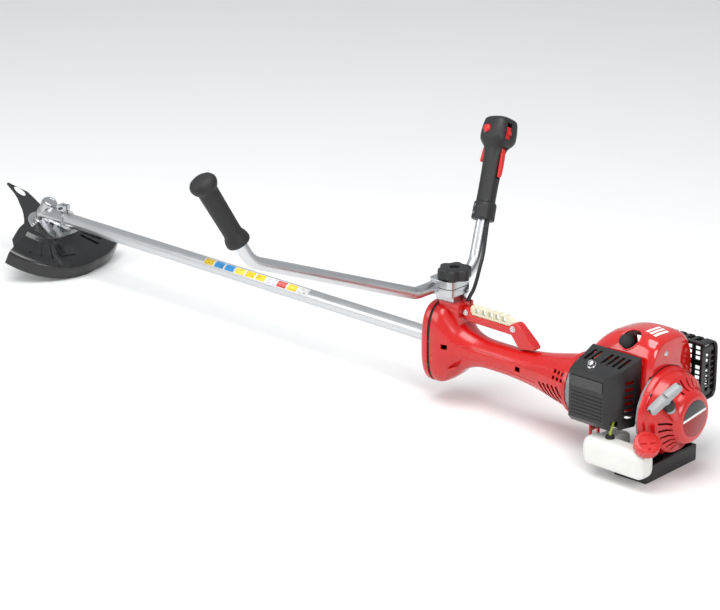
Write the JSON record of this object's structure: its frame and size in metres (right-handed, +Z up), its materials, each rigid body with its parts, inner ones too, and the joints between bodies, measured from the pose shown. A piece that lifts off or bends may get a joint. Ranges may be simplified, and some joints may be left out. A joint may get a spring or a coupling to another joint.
{
  "type": "brush cutter",
  "caption": "Petrol brush cutter with a rigid straight drive tube, U-shaped handlebar, clutch housing and engine at one end, bevel gear head with a steel blade and guard at the other.",
  "frame": {"origin": "centre of the engine stand's flat underside, on the floor", "axes": "+Z up; +X along the drive tube, from the engine towards the cutting head; +Y to the operator's left"},
  "size_m": [1.7286, 0.7722, 0.5207],
  "materials": {
    "steel": "turned steel",
    "alloy": "drawn alloy tube, satin",
    "cast": "die-cast alloy, polished on the outside",
    "dark": "blackened steel",
    "paint": "black enamel",
    "redp": "moulded, semi-gloss",
    "redg": "high gloss",
    "blackp": "moulded, fine grain",
    "rubber": "matt",
    "cream": "moulded, satin",
    "silver": "silver grey, satin",
    "white": "braided cord",
    "tank": "translucent, waxy",
    "line": "clear yellow tube",
    "paper": "pleated filter paper"
  },
  "bodies": {
    "machine": {"main_tube": "alloy", "shaft_bush_front": "blackp", "shaft_bush_rear": "blackp", "spindle_bearing": "steel", "gear_case": "cast", "gear_case_cap": "cast", "gear_case_clamp_bolt": "dark", "blade_guard": "blackp", "guard_bracket": "cast", "handlebar_post": "cast", "handlebar_clamp_cap": "cast", "clamp_stud": "steel", "control_cable": "rubber", "isolator_plate": "redp", "isolator_rubber": "rubber", "drive_housing": "redp", "carry_handle": "redp", "hanger_rail": "cream", "crankcase": "cast", "cylinder": "cast", "spark_plug": "steel", "plug_boot": "rubber", "starter_housing": "redp", "starter_rope": "white", "engine_cover": "redg", "air_cleaner_cover": "blackp", "air_filter_element": "paper", "carburettor": "cast", "muffler": "dark", "muffler_guard": "blackp", "fuel_tank": "tank", "fuel_line": "line", "engine_stand": "blackp", "tank_bracket": "redp"},
    "cutter": {"output_shaft": "steel", "output_gear": "steel", "blade_upper_collar": "cast", "cutting_blade": "paint", "blade_lower_collar": "cast", "blade_nut": "dark"},
    "drive": {"drive_shaft": "steel", "bevel_pinion": "steel", "clutch_drum": "dark"},
    "crank": {"crankshaft": "steel", "flywheel_fan": "cast", "clutch_rotor": "dark"},
    "piston": {"piston": "cast"},
    "handlebar": {"handlebar": "alloy", "left_grip": "rubber", "throttle_handle_front": "blackp", "throttle_handle_rear": "blackp"},
    "trigger": {"throttle_trigger": "redp"},
    "lockout": {"throttle_lockout": "redp"},
    "stop_switch": {"stop_switch": "redp"},
    "set_button": {"throttle_set_button": "redp"},
    "knob": {"clamp_knob": "blackp"},
    "starter_grip": {"starter_grip": "silver"},
    "starter_reel": {"starter_reel": "blackp"},
    "fuel_cap": {"fuel_cap": "redp"},
    "air_bolt": {"air_cleaner_bolt": "steel"}
  },
  "joints": [
    {"name": "cutter_spin", "type": "hinge", "parent": "machine", "child": "cutter", "pos_m": [1.524, 0, 0.108], "axis": [-0.4695, 0, 0.8829], "continuous": true},
    {"name": "drive_spin", "type": "hinge", "parent": "machine", "child": "drive", "pos_m": [0.8, 0, 0.108], "axis": [1, 0, 0], "continuous": true},
    {"name": "crank_spin", "type": "hinge", "parent": "machine", "child": "crank", "pos_m": [0.07, 0, 0.108], "axis": [1, 0, 0], "continuous": true},
    {"name": "piston_stroke", "type": "slide", "parent": "machine", "child": "piston", "axis": [0, 0, 1], "range_m": [-0.03, 0]},
    {"name": "handlebar_tilt", "type": "hinge", "parent": "machine", "child": "handlebar", "pos_m": [0.465, 0, 0.214], "axis": [0, 1, 0], "range_deg": [-15, 15], "deforming": ["control_cable"]},
    {"name": "trigger_squeeze", "type": "hinge", "parent": "handlebar", "child": "trigger", "pos_m": [0.52211, -0.18582, 0.41977], "axis": [0.0881, 0.887, 0.4533], "range_deg": [0, 9], "stiffness_Nm_per_rad": 0.6, "springref_deg": -8.59},
    {"name": "lockout_press", "type": "hinge", "parent": "handlebar", "child": "lockout", "pos_m": [0.48785, -0.17751, 0.41016], "axis": [-0.0881, -0.887, -0.4533], "range_deg": [0, 5], "stiffness_Nm_per_rad": 0.6, "springref_deg": -8.59},
    {"name": "stop_switch_slide", "type": "slide", "parent": "handlebar", "child": "stop_switch", "axis": [0.1692, -0.4617, 0.8707], "range_m": [0, 0.007]},
    {"name": "set_button_press", "type": "slide", "parent": "handlebar", "child": "set_button", "axis": [-0.0881, -0.887, -0.4533], "range_m": [0, 0.004], "stiffness_N_per_m": 300, "springref_m": -0.003},
    {"name": "clamp_knob_turn", "type": "hinge", "parent": "machine", "child": "knob", "pos_m": [0.443, 0, 0.236], "axis": [0, 0, 1], "range_deg": [0, 720]},
    {"name": "starter_pull", "type": "slide", "parent": "machine", "child": "starter_grip", "axis": [0, 0.5878, 0.809], "range_m": [0, 0.75], "stiffness_N_per_m": 12, "springref_m": -0.4, "deforming": ["starter_rope"]},
    {"name": "reel_spin", "type": "hinge", "parent": "machine", "child": "starter_reel", "pos_m": [-0.062, 0, 0.108], "axis": [1, 0, 0], "range_deg": [0, 1720]},
    {"name": "fuel_cap_turn", "type": "hinge", "parent": "machine", "child": "fuel_cap", "pos_m": [-0.05, 0.095, 0.084], "axis": [-0.4506, 0.3505, 0.8211], "range_deg": [0, 540]},
    {"name": "air_bolt_turn", "type": "hinge", "parent": "machine", "child": "air_bolt", "pos_m": [0.074, 0.082, 0.182], "axis": [0, 0.5, 0.866], "range_deg": [0, 1440]}
  ],
  "couplings": [
    {"joint": "drive_spin", "follows": "cutter_spin", "ratio": -1.3571},
    {"joint": "reel_spin", "follows": "starter_pull", "rad_per_m": 39.732}
  ]
}
